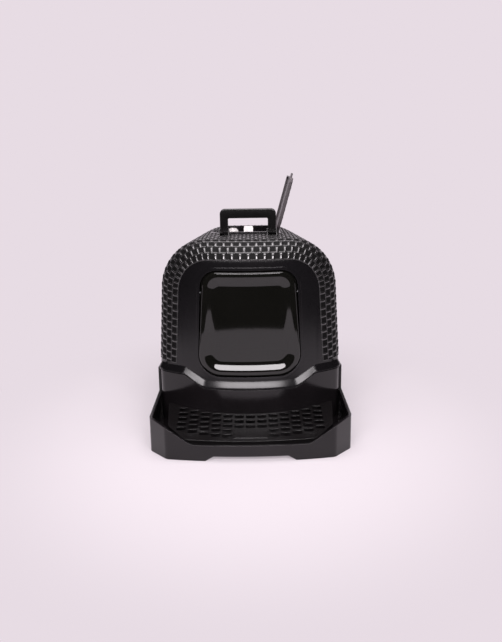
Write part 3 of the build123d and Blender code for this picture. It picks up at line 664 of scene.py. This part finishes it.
def addPane():
    rings = [[(x, z, paneLift(inset)) for x, z in paneOutline(inset)] for inset in pane["insets"]]
    last = rings[-1]
    centreZ = (pane["topZ"] + pane["lowZ"]) / 2
    for part in range(pane["middleRings"] - 1, -1, -1):
        share = part / pane["middleRings"]
        rings.append([(x * share, centreZ + (z - centreZ) * share, pane["rest"]) for x, z, lift in last])
    around = len(rings[0])
    bm, grid = sheetGrid(around + 1, len(rings))
    for ring, row in zip(rings, grid):
        for c, vertex in enumerate(row):
            x, z, lift = ring[c % around]
            bow = pane["radius"] - math.sqrt(pane["radius"] ** 2 - x * x)
            vertex.co = (x, pane["noseY"] + bow - lift, z)
    bmesh.ops.remove_doubles(bm, verts=bm.verts, dist=pane["weld"])
    bmesh.ops.recalc_face_normals(bm, faces=bm.faces)
    return pieceFrom(bm, "doorPane", "flap", "smokedDoor")


doorPane = addPane()
print("door pane:", len(doorPane.data.polygons), "faces")


# studio: a pale floor that runs into the pale background, a wide lamp in front and one above
studio = {
    "backdrop": (0.800, 0.715, 0.775),
    "room": (0.010, 0.010, 0.011),
    "roomEnd": 0.80,  # from front (0) to rear (1): end of the dark room, start of the pale backdrop
    "backdropStart": 0.94,
    "floorLow": (0.665, 0.630, 0.654),
    "floorHigh": (0.675, 0.640, 0.664),
    "floorRough": 0.6,
    "floorMiddle": -0.13,
    "frontReach": 0.92,
    "rearReach": 6.0,
    "blendStart": 0.28,  # distances over which the floor turns into the backdrop
    "blendEnd": 0.66,
    "blendDepth": 0.8,  # the same distance counts less along the depth
    "leastBlend": 0.45,
}

lampTint = (1.0, 0.945, 0.975)

lamps = {
    "overheadLamp": {"place": (0, -0.15, 1.7), "aim": (0, -0.1, 0.2), "size": (1.6, 1.2), "power": 29.0},
    "frontLamp": {"place": (0, -1.62, 1.04), "aim": (0, -0.13, 0.13), "size": (1.8, 0.52), "power": 33.0},
}


# diffuse near the object, and the backdrop's own tone further away, so that no horizon shows
def floorMaterial():
    m = NodeMat("studioFloor")
    matte = m.add("ShaderNodeBsdfDiffuse", Roughness=studio["floorRough"])
    m.link(m.ramp(m.noise(3.0), studio["floorLow"], studio["floorHigh"]), matte.inputs["Color"])
    far = m.add("ShaderNodeEmission", Strength=1.0)
    far.inputs["Color"].default_value = (*studio["backdrop"], 1)
    centred = m.add("ShaderNodeVectorMath", operation="MULTIPLY")
    centred.inputs[1].default_value = (1.0, studio["blendDepth"], 0.0)
    m.link(m.coords, centred.inputs[0])
    away = m.add("ShaderNodeVectorMath", operation="LENGTH")
    m.link(centred.outputs["Vector"], away.inputs[0])
    share = m.add("ShaderNodeMapRange", interpolation_type="SMOOTHSTEP")
    share.inputs["From Min"].default_value = studio["blendStart"]
    share.inputs["From Max"].default_value = studio["blendEnd"]
    share.inputs["To Min"].default_value = studio["leastBlend"]
    m.link(away.outputs["Value"], share.inputs["Value"])
    mix = m.nodes.new("ShaderNodeMixShader")
    m.link(share.outputs["Result"], mix.inputs["Fac"])
    m.link(matte.outputs[0], mix.inputs[1])
    m.link(far.outputs[0], mix.inputs[2])
    return m.done(mix)


# a wide half disc behind the object, and a smaller one in front that its door reflects
def addFloor():
    bm = bmesh.new()
    bmesh.ops.create_circle(bm, cap_ends=True, segments=128, radius=1.0)
    for vertex in bm.verts:
        reach = studio["frontReach"] if vertex.co.y < -0.01 else studio["rearReach"]
        vertex.co = Vector((vertex.co.x * reach, vertex.co.y * reach + studio["floorMiddle"], 0))
    mesh = bpy.data.meshes.new("floor")
    bm.to_mesh(mesh)
    bm.free()
    floor = bpy.data.objects.new("floor", mesh)
    scene.collection.objects.link(floor)
    mesh.materials.append(floorMaterial())


def addLamp(name, place, aim, size, power):
    data = bpy.data.lights.new(name, "AREA")
    data.shape = "RECTANGLE"
    data.size, data.size_y = size
    data.energy = power
    data.color = lampTint
    lamp = bpy.data.objects.new(name, data)
    toward = (Vector(aim) - Vector(place)).to_track_quat("-Z", "Y")
    lamp.matrix_world = Matrix.Translation(place) @ toward.to_matrix().to_4x4()
    scene.collection.objects.link(lamp)


# pale to the camera; surfaces see a pale backdrop behind the object and a dark room everywhere else
def addWorld():
    world = bpy.data.worlds.new("studio")
    scene.world = world
    world.use_nodes = True
    nodes, links = world.node_tree.nodes, world.node_tree.links
    nodes.clear()
    out = nodes.new("ShaderNodeOutputWorld")
    seen = nodes.new("ShaderNodeBackground")
    seen.inputs["Color"].default_value = (*studio["backdrop"], 1)
    around = nodes.new("ShaderNodeBackground")
    coords = nodes.new("ShaderNodeTexCoord")
    split = nodes.new("ShaderNodeSeparateXYZ")
    links.new(coords.outputs["Generated"], split.inputs[0])
    ramp = nodes.new("ShaderNodeValToRGB")
    ramp.color_ramp.elements[0].position = studio["roomEnd"]
    ramp.color_ramp.elements[1].position = studio["backdropStart"]
    ramp.color_ramp.elements[0].color = (*studio["room"], 1)
    ramp.color_ramp.elements[1].color = (*studio["backdrop"], 1)
    turned = nodes.new("ShaderNodeMapRange")
    turned.inputs["From Min"].default_value = -1.0
    links.new(split.outputs["Y"], turned.inputs["Value"])
    links.new(turned.outputs["Result"], ramp.inputs["Fac"])
    links.new(ramp.outputs["Color"], around.inputs["Color"])
    rays = nodes.new("ShaderNodeLightPath")
    pick = nodes.new("ShaderNodeMixShader")
    links.new(rays.outputs["Is Camera Ray"], pick.inputs["Fac"])
    links.new(around.outputs[0], pick.inputs[1])
    links.new(seen.outputs[0], pick.inputs[2])
    links.new(pick.outputs[0], out.inputs["Surface"])


addFloor()
addWorld()
for lampName, lampForm in lamps.items():
    addLamp(lampName, **lampForm)
print("studio lit")
